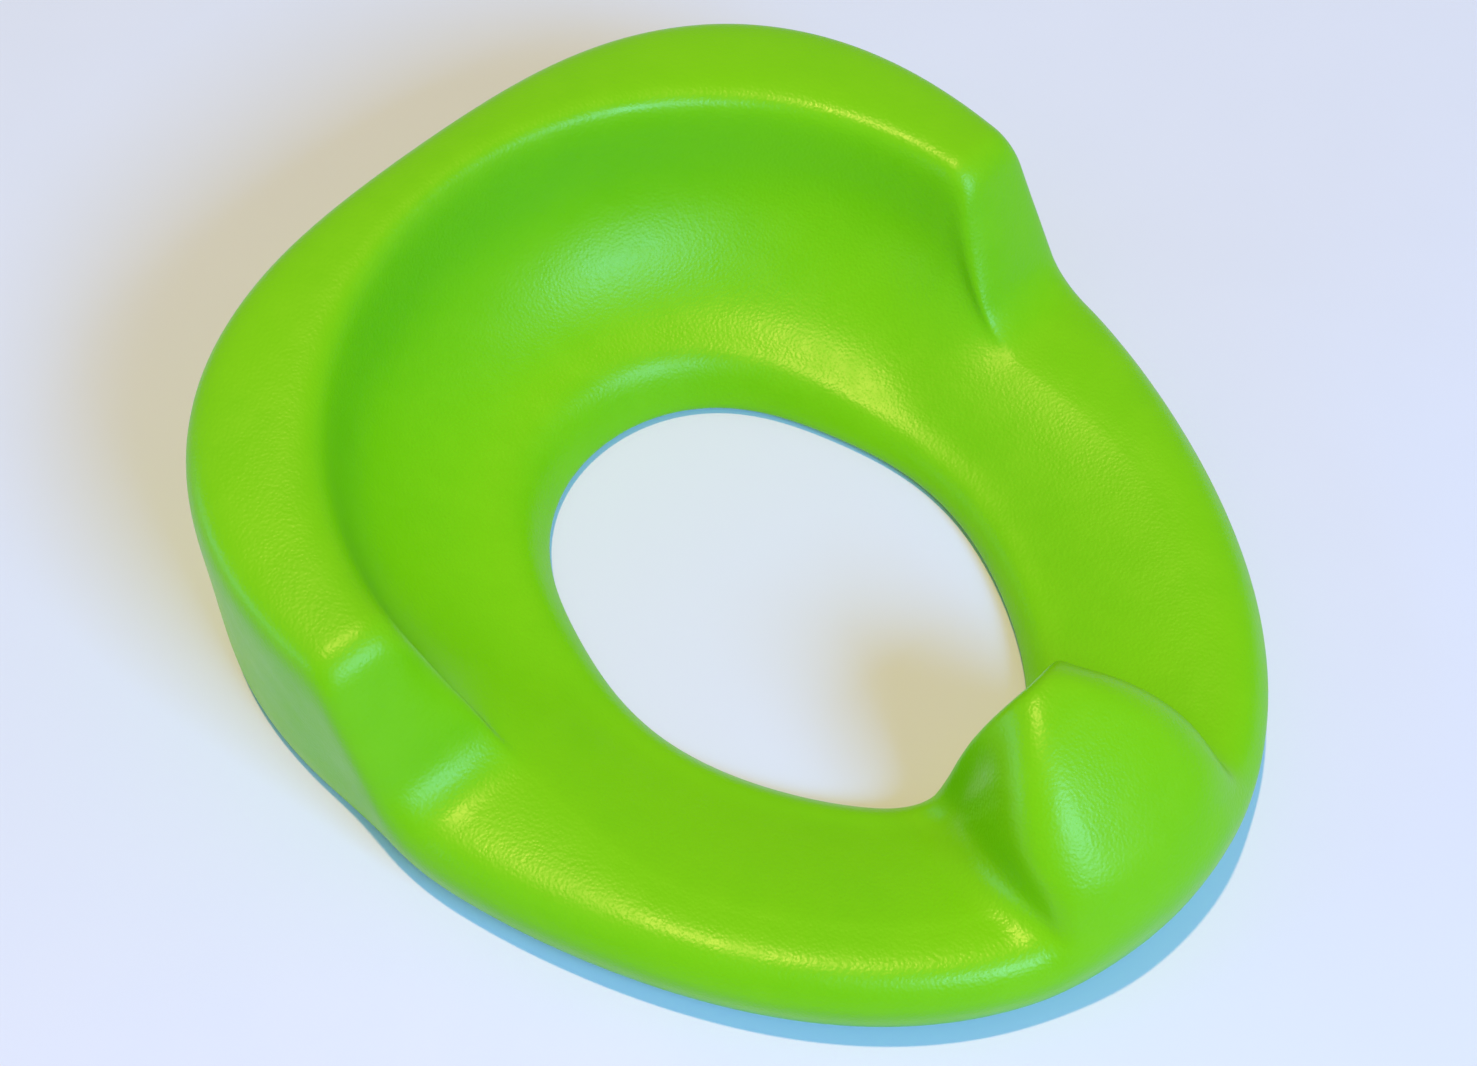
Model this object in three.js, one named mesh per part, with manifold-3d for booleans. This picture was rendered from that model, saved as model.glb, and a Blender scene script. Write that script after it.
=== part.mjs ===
// A toddler's training seat that lies on an adult toilet seat: one soft foam moulding with a
// raised horseshoe rim at the back and a splash guard at the front, a rigid carrier bedded in
// its underside, and an underside ring that is screwed on and stands on rubber feet.
// Millimetres, +Z up, the rim at +Y, the splash guard at -Y, the feet on z = 0.
// Every ring-shaped piece is lofted through radial sections around the upright axis.

import * as THREE from 'three';
import { mergeVertices } from 'three/addons/utils/BufferGeometryUtils.js';
import Module from 'manifold-3d';

const wasm = await Module();
wasm.setup();

const GAP = 0.3; // clearance between pieces that touch

// Outlines in plan. An outline is an egg: half width, reach to the back and to the front,
// squareness (2 is an ellipse) and a three-lobed correction that narrows one end.
const OUTER = { half: 163, back: 165.5, front: 189.5, square: 2.01, lobe: -5 };
const HOLE = { half: 67, back: 68.5, front: 121.5, square: 2.02, lobe: 4.5 };

// Values given at the back, at the corner (45 degrees) and at the side of the raised rim.
const RIM_HEIGHT = { back: 98, corner: 91.5, side: 85 };
const RIM_REACH = { back: 3, corner: 12.4, side: -5.6 }; // of the rim's outer edge past OUTER
const RIM_WIDTH = { back: 25.6, corner: 44.2, side: 29.6 };
const RIM_BASE = { back: 3.8, corner: 12.2, side: -5.5 }; // of the foot of the wall past OUTER
const RIM_FALL = 2; // the rim's top falls this much to its outer edge

// Degrees from the back between which the rim gives way to the low ring: its outer flank, the
// width of its flat top, and the widening of the flat top at the wings' feet.
const FLANK = { top: 74, foot: 99 };
const NARROWING = { top: 92, foot: 130 };
const SPREAD = { top: 78, foot: 94, width: 7 };

// The wings' end faces: distance in front of the side where the top edge and the foot lie, how
// far the face turns per millimetre of reach from the radius at, and its drop and roundings.
const WING = { top: 25, foot: -5, turn: 0.1, at: 142, drop: 53, topRound: 15.5, footRound: 23 };

const CREST = { side: 35, front: 32, width: 18, setIn: 3.5, fall: 2, undercut: 5, ease: 1.5 };
const LIP = { radius: 13, top: 15, backRadius: 20, backTop: 26, backEnds: 110, edge: 4 };
const BOWL = { slope: 0.14, dish: 35, curve: 1.75, wall: 12 };

// The splash guard: heights along its back, and the half widths of its top and of its foot.
const GUARD = { ridge: 79, inner: 56, outer: 41.5, setBack: 9.5, power: 1.6 };
const GUARD_TOP = { ridge: 18, outer: 37 };
const GUARD_FOOT = { ridge: 26, outer: 41 };
const GUARD_ROUND = { drop: 42, topRound: 20, footRound: 14 };
const GUARD_FADE = { top: -14, foot: 8 };

// The outer wall's profile: how far its foot and its top edge are rounded, and the height of
// two points on it as shares of the wall, with how far each has moved from foot to top.
const WALL = { footIn: 3, footUp: 2, ringRound: 6, rimRound: 8 };
const WALL_LOW = { height: 0.35, onRing: 0.8, onRim: 0.35 };
const WALL_HIGH = { height: 0.66, onRim: 0.72 };

// Rounding of the top's inner edge, and how much rounder it is on the wings' end faces.
const INNER_ROUND = { out: 2, ringIn: 3, rimIn: 2.5, ringDown: 0.6, rimDown: 7, rimUp: 0.6 };
const FACE_ROUND = { out: 5, in: 4, down: 6 };

// Where the control points of the sitting surface lie, from the rim to the hole's lip.
const SEAT_POINTS = [0.88, 0.75, 0.58, 0.4, 0.2, 0];

const FOAM_BOTTOM = 0.8;
const POCKET = { top: 12, inner: 20, outer: 12 }; // recess under the foam for the rigid pieces

const CARRIER = { thickness: 3, boss: 5, bore: 2.2 };
const RING = { bottom: 1.4, thickness: 3, boss: 7, bossTop: 6 };
const SCREW = { count: 6, head: 3.8, headHeight: 1.7, shank: 1.9, tip: 11.2, slot: 0.9, slotLength: 4.6 };
const FOOT = { count: 6, radius: 9, height: 2.7, stem: 2.5, barb: 3.6, tip: 7 };
const ROUND = 16; // sides of the small round pieces

const DEG = Math.PI / 180;

const mix = (a, b, t) => a + (b - a) * t;

const clip = (t) => Math.min(Math.max(t, 0), 1);

function smooth(t) {
  const s = clip(t);
  return s * s * (3 - 2 * s);
}

// Radius of an egg outline at the angle a, 0 at the back and pi at the front.
function egg(outline, a) {
  const { half, back, front, square, lobe } = outline;
  const reach = (back + front) / 2 + ((back - front) / 2) * Math.cos(a);
  const across = Math.abs(Math.sin(a) / half) ** square;
  const along = Math.abs(Math.cos(a) / reach) ** square;
  return (across + along) ** (-1 / square) + lobe * Math.cos(3 * a);
}

// A value that runs smoothly from the back through the corner to the side of the rim.
function aroundRim(value, a) {
  const q = Math.min(a, Math.PI / 2);
  const ends = (value.back + value.side) / 2;
  const mean = (ends + value.corner) / 2;
  return mean + ((value.back - value.side) / 2) * Math.cos(2 * q) + (ends - mean) * Math.cos(4 * q);
}

// 1 up to the edge at top, 0 past the foot at foot, with round arcs at both ends of the slope.
function roundedStep(x, step) {
  const { top, foot, drop, topRound, footRound } = step;
  const angle = Math.atan2(drop, foot - top);
  const fromTop = x - top + topRound * Math.tan(angle / 2);
  const fromFoot = foot + footRound * Math.tan(angle / 2) - x;
  if (fromTop < 0) return 1;
  if (fromFoot < 0) return 0;
  if (fromFoot < footRound * Math.sin(angle)) {
    return (footRound - Math.sqrt(footRound ** 2 - fromFoot ** 2)) / drop;
  }
  if (fromTop < topRound * Math.sin(angle)) {
    return (drop - topRound + Math.sqrt(topRound ** 2 - fromTop ** 2)) / drop;
  }
  return (foot - x) / (foot - top);
}

// 1 behind the angle range.top, 0 in front of the angle range.foot, smooth between them.
function fall(degrees, range) {
  return 1 - smooth((degrees - range.top) / (range.foot - range.top));
}

// How much of the raised rim is left at radius r on the angle a.
function wingShare(a, r) {
  const forward = -r * Math.cos(a) + WING.turn * (r * Math.sin(a) - WING.at);
  return roundedStep(forward, { ...WING, top: -WING.top, foot: -WING.foot });
}

// How much of the splash guard there is at radius r, s of the way to its outer end.
function guardShare(a, r, s) {
  const spread = Math.sin((Math.PI / 2) * clip(s));
  const past = clip(s - 1) ** 2;
  const top = mix(GUARD_TOP.ridge, GUARD_TOP.outer, spread) + GUARD_FADE.top * past;
  const foot = mix(GUARD_FOOT.ridge, GUARD_FOOT.outer, spread) + GUARD_FADE.foot * past;
  return roundedStep(r * (Math.PI - a), { ...GUARD_ROUND, top, foot });
}

function guardHeight(s) {
  const face = mix(GUARD.ridge, GUARD.inner, clip(s) ** GUARD.power);
  return face + (GUARD.outer - GUARD.inner) * clip(s - 1);
}

// The radii and heights that shape the section at the angle phi.
function sectionFrame(phi) {
  const turn = ((phi % (2 * Math.PI)) + 3 * Math.PI) % (2 * Math.PI);
  const a = Math.abs(turn - Math.PI);
  const degrees = a / DEG;
  const rim = fall(degrees, FLANK);
  const body = egg(OUTER, a);
  const hole = egg(HOLE, a);
  const foot = body + mix(-CREST.undercut, aroundRim(RIM_BASE, a), rim);
  const outer = body + mix(-CREST.setIn, aroundRim(RIM_REACH, a), rim);
  const width = aroundRim(RIM_WIDTH, a) + SPREAD.width * (1 - fall(degrees, SPREAD));
  const inner = outer - mix(CREST.width, width, fall(degrees, NARROWING));
  const crest = mix(CREST.side, CREST.front, (1 - Math.cos(a)) / 2);
  const ridge = guardShare(a, hole, 0);
  const back = smooth(1 - degrees / LIP.backEnds);
  const lipTop = mix(LIP.top, LIP.backTop, back);
  const round = mix(LIP.radius, LIP.backRadius, back);
  const lip = hole + mix(round, GUARD.setBack, ridge);
  const span = inner - lip;
  return { a, rim, body, hole, foot, outer, inner, crest, ridge, lipTop, round, lip, span };
}

// Height of the sitting surface at a fraction s of the way from the hole's lip to the rim.
function seatHeight(f, s) {
  const r = f.lip + f.span * s;
  const ring = mix(f.lipTop, f.crest, 1 - (1 - s) ** CREST.ease);
  const edge = f.lipTop + BOWL.slope * f.span + BOWL.dish;
  const floor = f.lipTop + BOWL.slope * f.span * s + BOWL.dish * s ** BOWL.curve;
  const bowl = floor + (aroundRim(RIM_HEIGHT, f.a) - edge) * s ** BOWL.wall;
  return mix(mix(ring, bowl, wingShare(f.a, r)), guardHeight(s), guardShare(f.a, r, s));
}

// Height of the top at radius r, at the sitting surface's edge or outside it.
function topHeight(f, r, rimHeight, ringHeight) {
  const inside = (r - f.lip) / f.span;
  const outside = 1 + (r - f.inner) / (f.outer - f.inner);
  const s = r < f.inner ? inside : outside;
  const top = mix(ringHeight, rimHeight, wingShare(f.a, r));
  return mix(top, guardHeight(s), guardShare(f.a, r, s));
}

// Control points [radius, height] of the wall, from its foot to just under the top.
function wallControls(f, outerTop) {
  const { rim, body, foot, outer } = f;
  const low = mix(mix(foot, body, WALL_LOW.onRing), mix(foot, outer, WALL_LOW.onRim), rim);
  const high = mix(body, mix(foot, outer, WALL_HIGH.onRim), rim);
  return [
    [foot - WALL.footIn, FOAM_BOTTOM],
    [foot, FOAM_BOTTOM + WALL.footUp],
    [low, WALL_LOW.height * outerTop],
    [high, WALL_HIGH.height * outerTop],
    [mix(body - 2, outer + 0.5, rim), outerTop - mix(WALL.ringRound, WALL.rimRound, rim)],
  ];
}

// Control points of the rounded edge of the hole, down to the underside.
function holeControls(f) {
  const { hole, round, lip, lipTop, ridge } = f;
  const shoulder = lipTop - 1.5 - 0.2 * (round - LIP.radius);
  return [
    [mix(hole + 0.42 * round, lip - 5, ridge), mix(shoulder, GUARD.ridge - 4, ridge)],
    [hole + mix(0.5, 0.4 * GUARD.setBack, ridge), mix(LIP.edge + 3.5, GUARD.ridge / 2, ridge)],
    [hole - 0.8 * (1 - ridge), mix(LIP.edge - 1, GUARD.ridge / 7, ridge)],
    [hole + 2, FOAM_BOTTOM],
  ];
}

// Control points of the skin, from the foot of the wall over the rim and down the sitting
// surface to the underside of the hole's edge.
function skinControls(f) {
  const { rim, outer, inner, crest } = f;
  const rimTop = aroundRim(RIM_HEIGHT, f.a);
  const middle = mix(outer, inner, 0.5);
  const wing = wingShare(f.a, inner);
  const face = 4 * wing * (1 - wing);
  const edge = inner + INNER_ROUND.out + FACE_ROUND.out * face;
  const inside = inner - mix(INNER_ROUND.ringIn, INNER_ROUND.rimIn, rim) - FACE_ROUND.in * face;
  const rimInside = rimTop - INNER_ROUND.rimDown - FACE_ROUND.down * face;
  const outerTop = topHeight(f, outer, rimTop - RIM_FALL, crest - CREST.fall);
  const top = [
    [outer - 3, outerTop - 0.2],
    [middle, topHeight(f, middle, rimTop - 0.2, crest)],
    [edge, topHeight(f, edge, rimTop + INNER_ROUND.rimUp, crest)],
    [inside, topHeight(f, inside, rimInside, crest - INNER_ROUND.ringDown)],
  ];
  const seat = SEAT_POINTS.map((s) => [f.lip + f.span * s, seatHeight(f, s)]);
  return [...wallControls(f, outerTop), ...top, ...seat, ...holeControls(f)];
}

// Points of a cubic B-spline that starts and ends on its first and last control point.
function splinePoints(controls, perSpan) {
  const first = controls[0];
  const last = controls[controls.length - 1];
  const padded = [first, first, ...controls, last, last];
  const points = [];
  for (let i = 0; i + 3 < padded.length; i += 1) {
    for (let j = 0; j < perSpan; j += 1) {
      const t = j / perSpan;
      const early = 3 * t ** 3 - 6 * t * t + 4;
      const late = -3 * t ** 3 + 3 * t * t + 3 * t + 1;
      const weights = [(1 - t) ** 3, early, late, t ** 3];
      const sum = (axis) => weights.reduce((total, w, k) => total + (w * padded[i + k][axis]) / 6, 0);
      points.push([sum(0), sum(1)]);
    }
  }
  points.push(last);
  return points;
}

// Angles of the sections: close together at the wings' ends and at the guard.
function stationAngles() {
  const half = [];
  const stretch = (from, to, steps) => {
    for (let i = 0; i < steps; i += 1) half.push(mix(from, to, i / steps));
  };
  stretch(0, 66, 10);
  stretch(66, 102, 14);
  stretch(102, 156, 7);
  stretch(156, 180, 12);
  const mirrored = half.slice(1).reverse().map((angle) => 360 - angle);
  return [...half, 180, ...mirrored].map((angle) => angle * DEG);
}

const STATIONS = stationAngles();

// A closed ring through one closed outline of [radius, height] points at every station.
function ringGeometry(outlineAt) {
  const outlines = STATIONS.map(outlineAt);
  const count = outlines[0].length;
  const positions = [];
  outlines.forEach((outline, i) => {
    const phi = STATIONS[i];
    outline.forEach(([r, z]) => positions.push(r * Math.sin(phi), r * Math.cos(phi), z));
  });
  const index = [];
  for (let i = 0; i < outlines.length; i += 1) {
    const next = (i + 1) % outlines.length;
    for (let j = 0; j < count; j += 1) {
      const k = (j + 1) % count;
      const [a, b, c, d] = [i * count + j, next * count + j, next * count + k, i * count + k];
      index.push(a, d, c, a, c, b);
    }
  }
  const geometry = new THREE.BufferGeometry();
  geometry.setAttribute('position', new THREE.Float32BufferAttribute(positions, 3));
  geometry.setIndex(index);
  return geometry;
}

function toSolid(geometry) {
  const plain = geometry.clone();
  plain.deleteAttribute('normal');
  plain.deleteAttribute('uv');
  const merged = mergeVertices(plain);
  return new wasm.Manifold(
    new wasm.Mesh({
      numProp: 3,
      vertProperties: new Float32Array(merged.attributes.position.array),
      triVerts: new Uint32Array(merged.index.array),
    }),
  );
}

function toGeometry(solid) {
  const mesh = solid.getMesh();
  const geometry = new THREE.BufferGeometry();
  geometry.setAttribute('position', new THREE.Float32BufferAttribute(Array.from(mesh.vertProperties), 3));
  geometry.setIndex(Array.from(mesh.triVerts));
  geometry.computeVertexNormals();
  return geometry;
}

// An upright cylinder from z = bottom to z = top with its axis through the point at.
function cylinder(at, radius, bottom, top) {
  const geometry = new THREE.CylinderGeometry(radius, radius, top - bottom, ROUND);
  geometry.rotateX(Math.PI / 2);
  geometry.translate(at.x, at.y, (bottom + top) / 2);
  return toSolid(geometry);
}

// Points spaced evenly around the middle of the pocket, starting at the angle start.
function placesInPocket(count, start) {
  return Array.from({ length: count }, (_, i) => {
    const phi = start + (i * 2 * Math.PI) / count;
    const f = sectionFrame(phi);
    const r = (f.hole + POCKET.inner + f.foot - POCKET.outer) / 2;
    return new THREE.Vector2(r * Math.sin(phi), r * Math.cos(phi));
  });
}

const SCREW_PLACES = placesInPocket(SCREW.count, 0);
const FOOT_PLACES = placesInPocket(FOOT.count, Math.PI / FOOT.count);

// Four corners of a flat ring that fills the pocket's width between two heights.
function flatOutline(phi, bottom, top) {
  const f = sectionFrame(phi);
  const inner = f.hole + POCKET.inner + GAP;
  const outer = f.foot - POCKET.outer - GAP;
  return [[outer, bottom], [outer, top], [inner, top], [inner, bottom]];
}

function cushionGeometry() {
  const geometry = ringGeometry((phi) => {
    const f = sectionFrame(phi);
    const pocketInner = f.hole + POCKET.inner;
    const pocketOuter = f.foot - POCKET.outer;
    const underside = [
      [pocketInner, FOAM_BOTTOM],
      [pocketInner, POCKET.top],
      [pocketOuter, POCKET.top],
      [pocketOuter, FOAM_BOTTOM],
    ];
    return [...splinePoints(skinControls(f), 2), ...underside];
  });
  geometry.computeVertexNormals();
  return geometry;
}

// The stiff plate bedded against the foam, with a drilled boss above every screw.
function carrierGeometry() {
  const top = POCKET.top - GAP;
  const bottom = top - CARRIER.thickness;
  let solid = toSolid(ringGeometry((phi) => flatOutline(phi, bottom, top)));
  SCREW_PLACES.forEach((at) => {
    solid = solid.add(cylinder(at, CARRIER.boss, RING.bossTop + GAP, bottom + 1));
    solid = solid.subtract(cylinder(at, CARRIER.bore, RING.bossTop - 1, top + 1));
  });
  return toGeometry(solid);
}

// The underside ring: a counterbored boss for every screw, a seat and a hole for every foot.
function undersideGeometry() {
  const top = RING.bottom + RING.thickness;
  let solid = toSolid(ringGeometry((phi) => flatOutline(phi, RING.bottom, top)));
  const headRoom = RING.bottom + GAP + SCREW.headHeight + GAP;
  SCREW_PLACES.forEach((at) => {
    solid = solid.add(cylinder(at, RING.boss, top - 1, RING.bossTop));
    solid = solid.subtract(cylinder(at, SCREW.head + 0.4, RING.bottom - 1, headRoom));
    solid = solid.subtract(cylinder(at, SCREW.shank + 0.4, RING.bottom, RING.bossTop + 1));
  });
  FOOT_PLACES.forEach((at) => {
    solid = solid.subtract(cylinder(at, FOOT.radius + GAP, RING.bottom - 1, FOOT.height + GAP));
    solid = solid.subtract(cylinder(at, FOOT.stem + GAP, RING.bottom, top + 1));
  });
  return toGeometry(solid);
}

// A turned piece from [radius, height] points that start and end on the axis.
function turned(profile) {
  const geometry = new THREE.LatheGeometry(profile.map(([r, z]) => new THREE.Vector2(r, z)), ROUND);
  geometry.rotateX(Math.PI / 2);
  return geometry;
}

// A pan-head screw, head down, with a cross recess in the head.
function screwGeometry() {
  const bottom = RING.bottom + GAP;
  const seat = bottom + SCREW.headHeight;
  const profile = [
    [0, bottom],
    [SCREW.head - 1, bottom],
    [SCREW.head, bottom + 0.7],
    [SCREW.head, seat],
    [SCREW.shank, seat],
    [SCREW.shank, SCREW.tip - 1.5],
    [0, SCREW.tip],
  ];
  const slot = new THREE.BoxGeometry(SCREW.slotLength, SCREW.slot, 2);
  slot.translate(0, 0, bottom);
  const cross = slot.clone().rotateZ(Math.PI / 2);
  return toGeometry(toSolid(turned(profile)).subtract(toSolid(slot)).subtract(toSolid(cross)));
}

// A push-in rubber foot: a round pad, a stem through the ring and a barb above it.
function footGeometry() {
  const ringTop = RING.bottom + RING.thickness;
  const geometry = turned([
    [0, 0],
    [FOOT.radius - 0.6, 0],
    [FOOT.radius, 0.6],
    [FOOT.radius, FOOT.height],
    [FOOT.stem, FOOT.height],
    [FOOT.stem, ringTop + GAP],
    [FOOT.barb, ringTop + GAP],
    [FOOT.stem - 1, FOOT.tip],
    [0, FOOT.tip],
  ]);
  return toGeometry(toSolid(geometry));
}

const MATERIALS = {
  foam: new THREE.MeshStandardMaterial({ color: 0x76c605, roughness: 0.45, metalness: 0 }),
  carrier: new THREE.MeshStandardMaterial({ color: 0xd9dad6, roughness: 0.5, metalness: 0 }),
  underside: new THREE.MeshStandardMaterial({ color: 0xe9eae6, roughness: 0.4, metalness: 0 }),
  rubber: new THREE.MeshStandardMaterial({ color: 0x8a8d90, roughness: 0.8, metalness: 0 }),
  steel: new THREE.MeshStandardMaterial({ color: 0xb4b6b8, roughness: 0.35, metalness: 1 }),
};

const seat = new THREE.Group();

function addPiece(name, geometry, material, at) {
  const mesh = new THREE.Mesh(geometry, material);
  mesh.name = name;
  if (at) mesh.position.set(at.x, at.y, 0);
  seat.add(mesh);
}

addPiece('seat_cushion', cushionGeometry(), MATERIALS.foam);
addPiece('carrier_plate', carrierGeometry(), MATERIALS.carrier);
addPiece('underside_ring', undersideGeometry(), MATERIALS.underside);
SCREW_PLACES.forEach((at, i) => addPiece(`screw_${i + 1}`, screwGeometry(), MATERIALS.steel, at));
FOOT_PLACES.forEach((at, i) => addPiece(`grip_foot_${i + 1}`, footGeometry(), MATERIALS.rubber, at));

// The origin is on the floor under the middle of the whole seat's box.
const box = new THREE.Box3().setFromObject(seat);
seat.position.y = -(box.min.y + box.max.y) / 2;

export default seat;
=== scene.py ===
"""The looks of a toddler's toilet training seat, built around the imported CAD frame.

One soft green foam moulding is all that shows from above. A carrier plate, an underside ring,
screws and rubber feet sit under it. The shape code works in millimetres, as the CAD source
does, and turns them into metres once, when the mesh is made.
"""

import math

import bpy
import numpy as np
from mathutils import Matrix, Quaternion, Vector


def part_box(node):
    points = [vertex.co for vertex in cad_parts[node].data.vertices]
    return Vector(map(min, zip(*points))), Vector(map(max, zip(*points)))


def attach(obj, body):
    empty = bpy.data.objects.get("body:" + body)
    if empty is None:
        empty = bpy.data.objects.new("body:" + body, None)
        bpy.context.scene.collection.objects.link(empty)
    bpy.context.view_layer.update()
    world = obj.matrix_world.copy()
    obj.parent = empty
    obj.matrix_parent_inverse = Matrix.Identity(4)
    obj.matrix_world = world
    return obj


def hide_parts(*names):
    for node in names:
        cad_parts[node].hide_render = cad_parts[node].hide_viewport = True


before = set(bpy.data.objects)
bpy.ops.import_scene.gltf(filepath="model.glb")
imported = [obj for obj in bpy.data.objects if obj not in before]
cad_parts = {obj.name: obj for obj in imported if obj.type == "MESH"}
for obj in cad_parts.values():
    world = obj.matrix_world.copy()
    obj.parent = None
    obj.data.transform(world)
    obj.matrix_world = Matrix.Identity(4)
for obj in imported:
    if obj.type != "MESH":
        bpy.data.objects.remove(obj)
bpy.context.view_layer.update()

MM = 0.001
DEG = math.pi / 180

# The moulding's driving values, the same as the CAD solid's.

# Outlines in plan. An outline is an egg: half width, reach to the back and to the front,
# squareness (2 is an ellipse) and a three-lobed correction that narrows one end.
OUTER = dict(half=163, back=165.5, front=189.5, square=2.01, lobe=-5)
HOLE = dict(half=67, back=68.5, front=121.5, square=2.02, lobe=4.5)

# Values at the back, at the corner (45 degrees) and at the side of the raised rim.
RIM_HEIGHT = dict(back=98, corner=91.5, side=85)
RIM_REACH = dict(back=3, corner=12.4, side=-5.6)  # of the rim's outer edge past OUTER
RIM_WIDTH = dict(back=25.6, corner=44.2, side=29.6)
RIM_BASE = dict(back=3.8, corner=12.2, side=-5.5)  # of the foot of the wall past OUTER
RIM_FALL = 2  # the rim's top falls this much to its outer edge

# Degrees from the back between which the rim gives way to the low ring: its outer flank, the
# width of its flat top, and the widening of the flat top at the wings' feet.
FLANK = dict(top=74, foot=99)
NARROWING = dict(top=92, foot=130)
SPREAD = dict(top=78, foot=94, width=7)

# The wings' end faces: distance in front of the side where the top edge and the foot lie, how
# far the face turns per millimetre of reach from the radius at, and its drop and roundings.
WING = dict(top=25, foot=-5, turn=0.1, at=142, drop=53, top_round=15.5, foot_round=23)

# The low ring: its height at the side and at the front, the width of its top, how far its outer
# edge and its foot lie inside OUTER, its fall to that edge, and how steeply it leaves the lip.
CREST = dict(side=35, front=32, width=18, set_in=3.5, fall=2, undercut=5, ease=1.5)

# The lip of the hole: radius and height, both larger at the back up to the angle back_ends,
# and the height at which the hole's edge is narrowest.
LIP = dict(radius=13, top=15, back_radius=20, back_top=26, back_ends=110, edge=4)

# The bowl: its even slope, the depth of its dish and the powers of the dish and of the wall.
BOWL = dict(slope=0.14, dish=35, curve=1.75, wall=12)

# The splash guard: heights along its back, the half widths of its top and of its foot, the
# roundings of its sides, and how its sides lean out over the outer wall.
GUARD = dict(ridge=79, inner=56, outer=41.5, set_back=9.5, power=1.6)
GUARD_TOP = dict(ridge=18, outer=37)
GUARD_FOOT = dict(ridge=26, outer=41)
GUARD_ROUND = dict(drop=42, top_round=20, foot_round=14)
GUARD_FADE = dict(top=-14, foot=8)

# The outer wall's profile: how far its foot and its top edge are rounded, and the height of
# two points on it as shares of the wall, with how far each has moved from foot to top.
WALL = dict(foot_in=3, foot_up=2, ring_in=2, rim_out=0.5, ring_round=6, rim_round=8)
WALL_LOW = dict(height=0.35, on_ring=0.8, on_rim=0.35)
WALL_HIGH = dict(height=0.66, on_rim=0.72)

# The top: the rounding of its outer edge, how far its middle sags, the rounding of its inner
# edge, and how much rounder that is on the wings' end faces.
OUTER_ROUND = dict(inward=3, down=0.2)
MIDDLE_SAG = 0.2
INNER_ROUND = dict(out=2, ring_in=3, rim_in=2.5, ring_down=0.6, rim_down=7, rim_up=0.6)
FACE_ROUND = dict(out=5, inward=4, down=6)

# Where the control points of the sitting surface lie, from the rim to the hole's lip.
SEAT_POINTS = (0.88, 0.75, 0.58, 0.4, 0.2, 0)

# The hole's edge from its shoulder down to the underside, on the ring and on the guard.
# Shares are of the lip's radius, of the guard's set-back and of the guard's height.
SHOULDER = dict(reach=0.42, down=1.5, flatter=0.2, guard_in=5, guard_down=4)
EDGE_HIGH = dict(out=0.5, up=3.5, guard_out=0.4, guard_height=1 / 2)
EDGE_LOW = dict(inward=0.8, down=1, guard_height=1 / 7)
EDGE_FOOT = 2  # the underside starts this far outside the hole

FOAM_BOTTOM = 0.8
POCKET = dict(top=12, inner=20, outer=12)  # recess under the foam for the rigid pieces

# The mesh: sections around the ring, points between two control points, and how much closer
# the sections stand in two stretches, given in degrees from the back.
STATIONS = 480
POINTS_PER_SPAN = 5
TURN_SAMPLES = 7201
NEAR_GUARD = dict(start=155, blend=8, closer=3)
NEAR_WING = dict(start=66, end=108, blend=6, closer=2)
SHARP_ANGLE = 50 * DEG

# Colours are linear RGB.
FOAM_GREEN = (0.225, 0.615, 0.0008)
FOAM_DEEP = (0.205, 0.59, 0.0006)
FOAM_RUBBED = (0.24, 0.63, 0.001)
FOAM_SHEEN = (1.0, 0.95, 0.5)
CARRIER_GREYS = (0.70, 0.70, 0.68), (0.66, 0.66, 0.64)
UNDERSIDE_GREYS = (0.80, 0.80, 0.78), (0.77, 0.77, 0.75)
RUBBER_GREYS = (0.24, 0.25, 0.26), (0.34, 0.34, 0.33)
STEEL_GREYS = (0.50, 0.50, 0.49), (0.62, 0.62, 0.61)
FLOOR_WHITES = (0.80, 0.80, 0.80), (0.76, 0.76, 0.765)
ROOM_TINT = (0.62, 0.93, 0.80)
ROOM_STRENGTH = 0.35

NOISE_REACH = (0.3, 0.7)  # most of a noise's values lie in here
PLASTIC_UNEVEN = 0.05  # how far the plastic's roughness strays
FLOOR_HALF = 3  # metres

# Angles in degrees, lens and sensor in millimetres, distance and aim in metres.
CAMERA = dict(turn=-45.67, tilt=56.67, roll=1.02, distance=0.874, lens=62.5, sensor=36)
CAMERA_AIM = (-0.0036, 0.0004, 0.0285)


def mix(a, b, t):
    return a + (b - a) * t


def smooth(t):
    s = np.clip(t, 0, 1)
    return s * s * (3 - 2 * s)


def egg(outline, a):
    """Radius of an egg outline at the angle a, 0 at the back and pi at the front."""
    back, front, square = outline["back"], outline["front"], outline["square"]
    reach = (back + front) / 2 + (back - front) / 2 * np.cos(a)
    across = np.abs(np.sin(a) / outline["half"]) ** square
    along = np.abs(np.cos(a) / reach) ** square
    return (across + along) ** (-1 / square) + outline["lobe"] * np.cos(3 * a)


def around_rim(value, a):
    """A value that runs smoothly from the back through the corner to the side of the rim."""
    q = np.minimum(a, math.pi / 2)
    ends = (value["back"] + value["side"]) / 2
    mean = (ends + value["corner"]) / 2
    swing = (value["back"] - value["side"]) / 2
    return mean + swing * np.cos(2 * q) + (ends - mean) * np.cos(4 * q)


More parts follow.
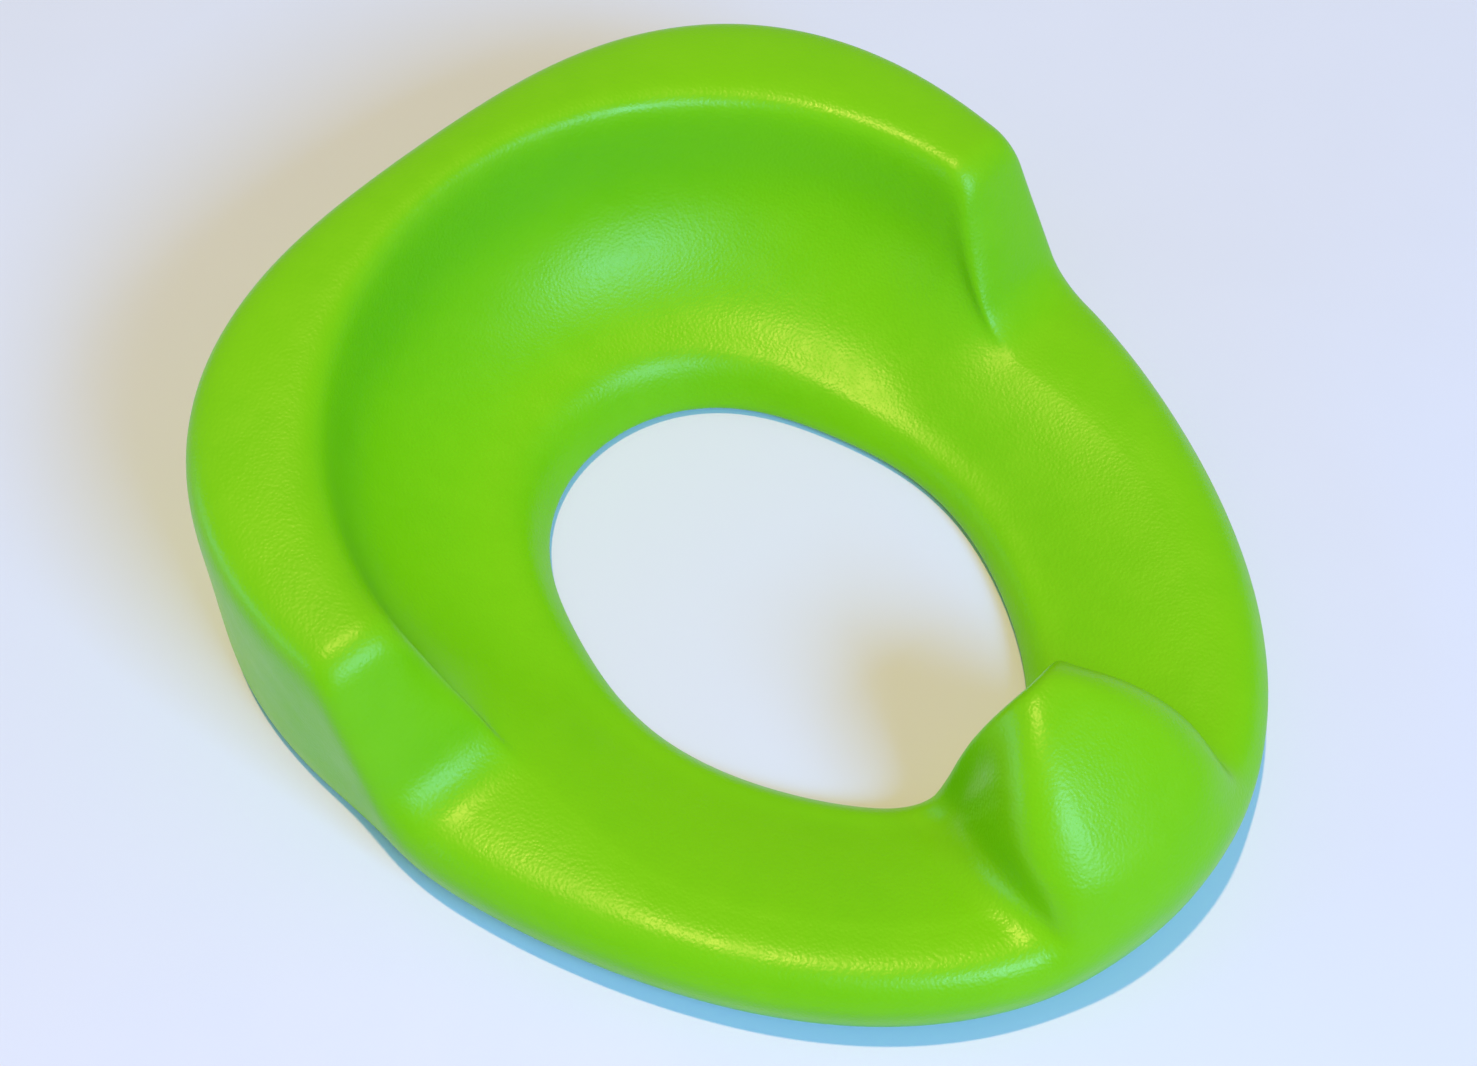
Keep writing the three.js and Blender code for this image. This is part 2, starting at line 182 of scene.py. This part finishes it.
def rounded_step(x, top, foot, shape):
    """1 up to the edge at top, 0 past the foot at foot, with round arcs at both ends."""
    drop, top_round, foot_round = shape["drop"], shape["top_round"], shape["foot_round"]
    angle = np.arctan2(drop, foot - top)
    from_top = x - (top - top_round * np.tan(angle / 2))
    from_foot = foot + foot_round * np.tan(angle / 2) - x
    over = drop - top_round + np.sqrt(np.maximum(top_round ** 2 - from_top ** 2, 0))
    under = foot_round - np.sqrt(np.maximum(foot_round ** 2 - from_foot ** 2, 0))
    z = drop * (foot - x) / (foot - top)
    z = np.where(from_top < top_round * np.sin(angle), over, z)
    z = np.where(from_foot < foot_round * np.sin(angle), under, z)
    z = np.where(from_top < 0, drop, z)
    z = np.where(from_foot < 0, 0, z)
    return z / drop


def fall(degrees, stretch):
    """1 behind the stretch's top, 0 in front of its foot, smooth between them."""
    return 1 - smooth((degrees - stretch["top"]) / (stretch["foot"] - stretch["top"]))


class Section:
    """The radii and heights that shape the sections at the angles phi, all arrays."""

    def __init__(self, phi):
        self.phi = phi
        self.a = np.abs((phi + math.pi) % (2 * math.pi) - math.pi)
        degrees = self.a / DEG
        self.rim = fall(degrees, FLANK)
        self.body = egg(OUTER, self.a)
        self.hole = egg(HOLE, self.a)
        base = around_rim(RIM_BASE, self.a)
        reach = around_rim(RIM_REACH, self.a)
        self.foot = self.body + mix(-CREST["undercut"], base, self.rim)
        self.outer = self.body + mix(-CREST["set_in"], reach, self.rim)
        width = around_rim(RIM_WIDTH, self.a) + SPREAD["width"] * (1 - fall(degrees, SPREAD))
        self.inner = self.outer - mix(CREST["width"], width, fall(degrees, NARROWING))
        self.rim_top = around_rim(RIM_HEIGHT, self.a)
        self.crest = mix(CREST["side"], CREST["front"], (1 - np.cos(self.a)) / 2)
        self.ridge = self.guard(self.hole, 0)
        back = smooth(1 - degrees / LIP["back_ends"])
        self.lip_top = mix(LIP["top"], LIP["back_top"], back)
        self.round = mix(LIP["radius"], LIP["back_radius"], back)
        self.lip = self.hole + mix(self.round, GUARD["set_back"], self.ridge)
        self.span = self.inner - self.lip

    def wing(self, r):
        """How much of the raised rim is left at radius r."""
        forward = -r * np.cos(self.a) + WING["turn"] * (r * np.sin(self.a) - WING["at"])
        return rounded_step(forward, -WING["top"], -WING["foot"], WING)

    def guard(self, r, s):
        """How much of the splash guard there is at radius r, s of the way to its outer end."""
        across = r * (math.pi - self.a)
        spread = np.sin(math.pi / 2 * np.clip(s, 0, 1))
        past = np.clip(s - 1, 0, 1) ** 2
        top = mix(GUARD_TOP["ridge"], GUARD_TOP["outer"], spread) + GUARD_FADE["top"] * past
        foot = mix(GUARD_FOOT["ridge"], GUARD_FOOT["outer"], spread) + GUARD_FADE["foot"] * past
        return rounded_step(across, top, foot, GUARD_ROUND)

    def guard_height(self, s):
        face = mix(GUARD["ridge"], GUARD["inner"], np.clip(s, 0, 1) ** GUARD["power"])
        return face + (GUARD["outer"] - GUARD["inner"]) * np.clip(s - 1, 0, 1)

    def seat_height(self, s):
        """Height of the sitting surface, s of the way from the hole's lip to the rim."""
        r = self.lip + self.span * s
        ring = mix(self.lip_top, self.crest, 1 - (1 - s) ** CREST["ease"])
        floor = self.lip_top + BOWL["slope"] * self.span * s + BOWL["dish"] * s ** BOWL["curve"]
        edge = self.lip_top + BOWL["slope"] * self.span + BOWL["dish"]
        bowl = floor + (self.rim_top - edge) * s ** BOWL["wall"]
        return mix(mix(ring, bowl, self.wing(r)), self.guard_height(s), self.guard(r, s))

    def top_height(self, r, rim_height, ring_height):
        """Height of the top at radius r, at the sitting surface's edge or outside it."""
        inside = (r - self.lip) / self.span
        outside = 1 + (r - self.inner) / (self.outer - self.inner)
        s = np.where(r < self.inner, inside, outside)
        top = mix(ring_height, rim_height, self.wing(r))
        return mix(top, self.guard_height(s), self.guard(r, s))

    def wall_controls(self, outer_top):
        """Control points of the outer wall, from its foot to just under the top."""
        rim, body, foot, outer = self.rim, self.body, self.foot, self.outer
        low_on_ring = mix(foot, body, WALL_LOW["on_ring"])
        low_on_rim = mix(foot, outer, WALL_LOW["on_rim"])
        high_on_rim = mix(foot, outer, WALL_HIGH["on_rim"])
        edge = mix(body - WALL["ring_in"], outer + WALL["rim_out"], rim)
        return [
            (foot - WALL["foot_in"], FOAM_BOTTOM),
            (foot, FOAM_BOTTOM + WALL["foot_up"]),
            (mix(low_on_ring, low_on_rim, rim), WALL_LOW["height"] * outer_top),
            (mix(body, high_on_rim, rim), WALL_HIGH["height"] * outer_top),
            (edge, outer_top - mix(WALL["ring_round"], WALL["rim_round"], rim)),
        ]

    def top_controls(self, outer_top):
        """Control points of the top, from its outer edge to just inside its inner edge."""
        rim, rim_top, crest, inner = self.rim, self.rim_top, self.crest, self.inner
        middle = mix(self.outer, inner, 0.5)
        wing = self.wing(inner)
        face = 4 * wing * (1 - wing)  # 1 halfway down a wing's end face, 0 beside it
        edge = inner + INNER_ROUND["out"] + FACE_ROUND["out"] * face
        inward = mix(INNER_ROUND["ring_in"], INNER_ROUND["rim_in"], rim)
        inside = inner - inward - FACE_ROUND["inward"] * face
        rim_inside = rim_top - INNER_ROUND["rim_down"] - FACE_ROUND["down"] * face
        ring_inside = crest - INNER_ROUND["ring_down"]
        return [
            (self.outer - OUTER_ROUND["inward"], outer_top - OUTER_ROUND["down"]),
            (middle, self.top_height(middle, rim_top - MIDDLE_SAG, crest)),
            (edge, self.top_height(edge, rim_top + INNER_ROUND["rim_up"], crest)),
            (inside, self.top_height(inside, rim_inside, ring_inside)),
        ]

    def hole_controls(self):
        """Control points of the rounded edge of the hole, down to the underside."""
        hole, ridge, edge, guard_top = self.hole, self.ridge, LIP["edge"], GUARD["ridge"]
        flatter = SHOULDER["flatter"] * (self.round - LIP["radius"])
        on_ring = [
            (hole + SHOULDER["reach"] * self.round, self.lip_top - SHOULDER["down"] - flatter),
            (hole + EDGE_HIGH["out"], edge + EDGE_HIGH["up"]),
            (hole - EDGE_LOW["inward"], edge - EDGE_LOW["down"]),
        ]
        on_guard = [
            (self.lip - SHOULDER["guard_in"], guard_top - SHOULDER["guard_down"]),
            (hole + EDGE_HIGH["guard_out"] * GUARD["set_back"],
             EDGE_HIGH["guard_height"] * guard_top),
            (hole, EDGE_LOW["guard_height"] * guard_top),
        ]
        points = [
            (mix(ring_r, guard_r, ridge), mix(ring_z, guard_z, ridge))
            for (ring_r, ring_z), (guard_r, guard_z) in zip(on_ring, on_guard)
        ]
        return points + [(hole + EDGE_FOOT, FOAM_BOTTOM)]

    def skin_controls(self):
        """Control points [radius, height] of the skin, from the foot of the wall to the hole."""
        rim_outer = self.rim_top - RIM_FALL
        outer_top = self.top_height(self.outer, rim_outer, self.crest - CREST["fall"])
        seat = [(self.lip + self.span * s, self.seat_height(s)) for s in SEAT_POINTS]
        wall, top = self.wall_controls(outer_top), self.top_controls(outer_top)
        return self.stack(wall + top + seat + self.hole_controls())

    def pocket(self):
        """Corners of the recess that holds the rigid pieces, from the hole to the wall."""
        inner = self.hole + POCKET["inner"]
        outer = self.foot - POCKET["outer"]
        top = POCKET["top"]
        return self.stack([(inner, FOAM_BOTTOM), (inner, top), (outer, top), (outer, FOAM_BOTTOM)])

    def stack(self, points):
        """Stations by points by 2, from pairs of arrays or numbers."""
        flat = np.zeros_like(self.phi)
        return np.stack([np.stack([r + flat, z + flat], -1) for r, z in points], 1)


def spline(controls, per_span):
    """Cubic B-splines that start and end on their first and last control points."""
    first, last = controls[:, :1], controls[:, -1:]
    padded = np.concatenate([first, first, controls, last, last], 1)
    points = []
    for i in range(padded.shape[1] - 3):
        for t in np.arange(per_span) / per_span:
            weights = (
                (1 - t) ** 3,
                3 * t ** 3 - 6 * t * t + 4,
                -3 * t ** 3 + 3 * t * t + 3 * t + 1,
                t ** 3,
            )
            points.append(sum(w * padded[:, i + k] for k, w in enumerate(weights)) / 6)
    points.append(controls[:, -1])
    return np.stack(points, 1)


def ring_mesh(name, outlines, phi):
    """A closed ring of quads through closed outlines of [radius, height] in millimetres."""
    r, z = outlines[..., 0], outlines[..., 1]
    points = np.stack([r * np.sin(phi)[:, None], r * np.cos(phi)[:, None], z], -1) * MM
    stations, count = r.shape
    i, j = np.meshgrid(np.arange(stations), np.arange(count), indexing="ij")
    here, there = i * count, (i + 1) % stations * count
    after = (j + 1) % count
    quads = np.stack([here + j, here + after, there + after, there + j], -1)
    mesh = bpy.data.meshes.new(name)
    mesh.from_pydata(points.reshape(-1, 3), [], quads.reshape(-1, 4))
    mesh.validate()
    return mesh


def station_angles():
    """Angles of the sections, which stand closer at the guard and at the wings' ends."""
    turn = np.linspace(0, 2 * math.pi, TURN_SAMPLES)
    degrees = np.abs((turn + math.pi) % (2 * math.pi) - math.pi) / DEG
    near_guard = smooth((degrees - NEAR_GUARD["start"]) / NEAR_GUARD["blend"])
    past_start = smooth((degrees - NEAR_WING["start"]) / NEAR_WING["blend"])
    before_end = smooth((NEAR_WING["end"] - degrees) / NEAR_WING["blend"])
    near_wing = past_start * before_end
    density = 1 + NEAR_GUARD["closer"] * near_guard + NEAR_WING["closer"] * near_wing
    total = np.concatenate([[0], np.cumsum((density[1:] + density[:-1]) / 2)])
    return np.interp(np.arange(STATIONS) / STATIONS * total[-1], total, turn)


def make_cushion():
    """The foam moulding, and the y of the sections' axis in the frame."""
    phi = station_angles()
    section = Section(phi)
    skin = spline(section.skin_controls(), POINTS_PER_SPAN)
    outlines = np.concatenate([skin, section.pocket()], 1)
    mesh = ring_mesh("foam_cushion", outlines, phi)
    # The frame has the middle of the seat's box at the origin, the sections have their axis there.
    low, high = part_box("seat_cushion")
    ys = np.array([v.co.y for v in mesh.vertices])
    axis_y = (low[1] + high[1]) / 2 - (ys.min() + ys.max()) / 2
    mesh.transform(Matrix.Translation((0, axis_y, 0)))
    mesh.polygons.foreach_set("use_smooth", [True] * len(mesh.polygons))
    mesh.set_sharp_from_angle(angle=SHARP_ANGLE)
    piece = bpy.data.objects.new("foam_cushion", mesh)
    bpy.context.scene.collection.objects.link(piece)
    return piece, axis_y


class Nodes:
    """A material of a principled shader, and the nodes that drive it."""

    def __init__(self, name):
        self.material = bpy.data.materials.new(name)
        self.material.use_nodes = True
        self.tree = self.material.node_tree
        self.tree.nodes.clear()
        output = self.add("ShaderNodeOutputMaterial")
        self.shader = self.add("ShaderNodeBsdfPrincipled")
        self.link(self.shader.outputs[0], output.inputs[0])
        self.place = self.add("ShaderNodeTexCoord").outputs["Object"]

    def add(self, kind, **values):
        node = self.tree.nodes.new(kind)
        for key, value in values.items():
            setattr(node, key, value)
        return node

    def link(self, source, target):
        self.tree.links.new(source, target)

    def tint(self, source, target):
        """Links a colour socket to the target, or sets the target to a colour."""
        if isinstance(source, tuple):
            target.default_value = (*source, 1)
        else:
            self.link(source, target)

    def texture(self, kind, size, **values):
        """A texture whose features are about size metres across."""
        node = self.add(kind)
        node.inputs["Scale"].default_value = 1 / size
        for key, value in values.items():
            node.inputs[key].default_value = value
        self.link(self.place, node.inputs["Vector"])
        return node

    def noise(self, size, detail, roughness=0.5):
        node = self.texture("ShaderNodeTexNoise", size, Detail=detail, Roughness=roughness)
        return node.outputs["Fac"]

    def cells(self, size):
        """Rounded cells, lowest in their middles."""
        node = self.texture("ShaderNodeTexVoronoi", size)
        node.feature = "SMOOTH_F1"
        return node.outputs["Distance"]

    def ramp(self, value, low=0.0, high=1.0, reach=NOISE_REACH):
        """Spreads the values in reach smoothly over low to high."""
        node = self.add("ShaderNodeMapRange", interpolation_type="SMOOTHSTEP")
        node.inputs["From Min"].default_value, node.inputs["From Max"].default_value = reach
        node.inputs["To Min"].default_value = low
        node.inputs["To Max"].default_value = high
        self.link(value, node.inputs["Value"])
        return node.outputs["Result"]

    def blend(self, share, first, second):
        """The first colour where share is 0 and the second where it is 1."""
        node = self.add("ShaderNodeMix", data_type="RGBA")
        self.link(share, node.inputs[0])
        self.tint(first, node.inputs[6])
        self.tint(second, node.inputs[7])
        return node.outputs[2]

    def total(self, first, second):
        node = self.add("ShaderNodeMath", operation="ADD")
        self.link(first, node.inputs[0])
        self.link(second, node.inputs[1])
        return node.outputs[0]

    def bump(self, texture, height, under=None):
        """A bump height metres high, on top of the bump under it."""
        node = self.add("ShaderNodeBump")
        node.inputs["Distance"].default_value = height
        self.link(texture, node.inputs["Height"])
        if under is not None:
            self.link(under, node.inputs["Normal"])
        return node.outputs["Normal"]

    def surface(self, colour, roughness, normal=None):
        """Links what varies over the surface to the shader, and returns the material."""
        self.link(colour, self.shader.inputs["Base Color"])
        self.link(roughness, self.shader.inputs["Roughness"])
        if normal is not None:
            self.link(normal, self.shader.inputs["Normal"])
        return self.material


def foam_material():
    """Integral-skin foam: satin lime green with a fine pebble grain and slight rub marks."""
    n = Nodes("lime_foam_skin")
    cloud = n.noise(size=0.07, detail=3)
    mottle = n.noise(size=0.012, detail=4, roughness=0.6)
    colour = n.blend(n.ramp(cloud), FOAM_GREEN, FOAM_DEEP)
    rubbed = n.ramp(mottle, high=0.35, reach=(0.35, 0.75))
    colour = n.blend(rubbed, colour, FOAM_RUBBED)
    roughness = n.total(n.ramp(mottle, -0.03, 0.03), n.ramp(cloud, 0.34, 0.39))
    pebbles = n.bump(n.cells(size=0.0011), height=0.0001)
    grain = n.bump(n.noise(size=0.0007, detail=2), height=0.00003, under=pebbles)
    n.shader.inputs["Specular IOR Level"].default_value = 0.45
    n.shader.inputs["Specular Tint"].default_value = (*FOAM_SHEEN, 1)
    return n.surface(colour, roughness, grain)


def plastic_material(name, greys, roughness):
    """Moulded plastic with a fine spark-eroded texture and faint flow marks."""
    n = Nodes(name)
    colour = n.blend(n.ramp(n.noise(size=0.03, detail=3)), *greys)
    wear = n.noise(size=0.008, detail=4)
    uneven = n.ramp(wear, roughness - PLASTIC_UNEVEN, roughness + PLASTIC_UNEVEN)
    grain = n.bump(n.noise(size=0.0009, detail=3), height=0.00005)
    return n.surface(colour, uneven, grain)


def rubber_material():
    """Dark rubber with dust on it."""
    n = Nodes("foot_rubber")
    dust = n.noise(size=0.004, detail=5, roughness=0.65)
    colour = n.blend(n.ramp(dust, reach=(0.45, 0.75)), *RUBBER_GREYS)
    grain = n.bump(n.noise(size=0.0006, detail=2), height=0.00006)
    return n.surface(colour, n.ramp(dust, 0.7, 0.88), grain)


def steel_material():
    """Steel with fine scratches."""
    n = Nodes("screw_steel")
    scratch = n.noise(size=0.0006, detail=4, roughness=0.7)
    colour = n.blend(scratch, *STEEL_GREYS)
    n.shader.inputs["Metallic"].default_value = 1
    return n.surface(colour, n.ramp(scratch, 0.28, 0.42), n.bump(scratch, height=0.00003))


def floor_material():
    n = Nodes("pale_floor")
    colour = n.blend(n.noise(size=0.4, detail=3), *FLOOR_WHITES)
    return n.surface(colour, n.ramp(n.noise(size=0.05, detail=3), 0.45, 0.55))


def dress(prefix, material):
    """Gives every CAD node whose name starts with prefix a material."""
    for name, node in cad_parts.items():
        if name.startswith(prefix):
            node.data.materials.clear()
            node.data.materials.append(material)


def make_floor():
    mesh = bpy.data.meshes.new("floor")
    signs = (-1, -1), (1, -1), (1, 1), (-1, 1)
    corners = [(x * FLOOR_HALF, y * FLOOR_HALF, 0) for x, y in signs]
    mesh.from_pydata(corners, [], [(0, 1, 2, 3)])
    mesh.materials.append(floor_material())
    floor = bpy.data.objects.new("floor", mesh)
    bpy.context.scene.collection.objects.link(floor)


def area_light(name, direction, distance, size, power, colour):
    """A rectangular light that stands in a direction and looks at the seat."""
    data = bpy.data.lights.new(name, "AREA")
    data.shape = "RECTANGLE"
    data.size, data.size_y = size
    data.energy = power
    data.color = colour
    light = bpy.data.objects.new(name, data)
    toward = Vector(direction).normalized()
    light.location = toward * distance
    light.rotation_euler = toward.to_track_quat("Z", "Y").to_euler()
    bpy.context.scene.collection.objects.link(light)


def make_lights():
    """A warm lamp overhead, a bluish window in front, a fainter one behind, and the room."""
    area_light("ceiling_lamp", direction=(-0.05, 0.11, 0.99), distance=6.0, size=(0.18, 0.18),
               power=208, colour=(1.0, 0.64, 0.36))
    area_light("window", direction=(-0.08, -0.76, 0.64), distance=2.5, size=(1.1, 0.8),
               power=78, colour=(0.15, 0.36, 0.90))
    area_light("far_window", direction=(-0.75, 0.60, 0.32), distance=2.5, size=(2.0, 0.8),
               power=22, colour=(0.12, 0.38, 1.0))
    world = bpy.data.worlds.new("studio")
    world.use_nodes = True
    background = world.node_tree.nodes["Background"]
    background.inputs["Color"].default_value = (*ROOM_TINT, 1)
    background.inputs["Strength"].default_value = ROOM_STRENGTH
    bpy.context.scene.world = world


def make_camera(axis_y):
    """Looks down on the seat from its front left."""
    turn, tilt = CAMERA["turn"] * DEG, CAMERA["tilt"] * DEG
    level = Vector((-math.sin(turn), math.cos(turn), 0))
    forward = level * math.cos(tilt) - Vector((0, 0, math.sin(tilt)))
    data = bpy.data.cameras.new("camera")
    data.lens = CAMERA["lens"]
    data.sensor_width = CAMERA["sensor"]
    camera = bpy.data.objects.new("camera", data)
    camera.location = Vector(CAMERA_AIM) + Vector((0, axis_y, 0)) - forward * CAMERA["distance"]
    roll = Quaternion(forward, -CAMERA["roll"] * DEG)
    camera.rotation_euler = (roll @ forward.to_track_quat("-Z", "Y")).to_euler()
    bpy.context.scene.collection.objects.link(camera)
    bpy.context.scene.camera = camera


cushion, axis_y = make_cushion()
cushion.data.materials.append(foam_material())
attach(cushion, "root")
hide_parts("seat_cushion")

dress("carrier_plate", plastic_material("carrier_plastic", CARRIER_GREYS, 0.5))
dress("underside_ring", plastic_material("underside_plastic", UNDERSIDE_GREYS, 0.42))
dress("screw_", steel_material())
dress("grip_foot_", rubber_material())

make_floor()
make_lights()
make_camera(axis_y)
bpy.context.scene.view_settings.view_transform = "Standard"
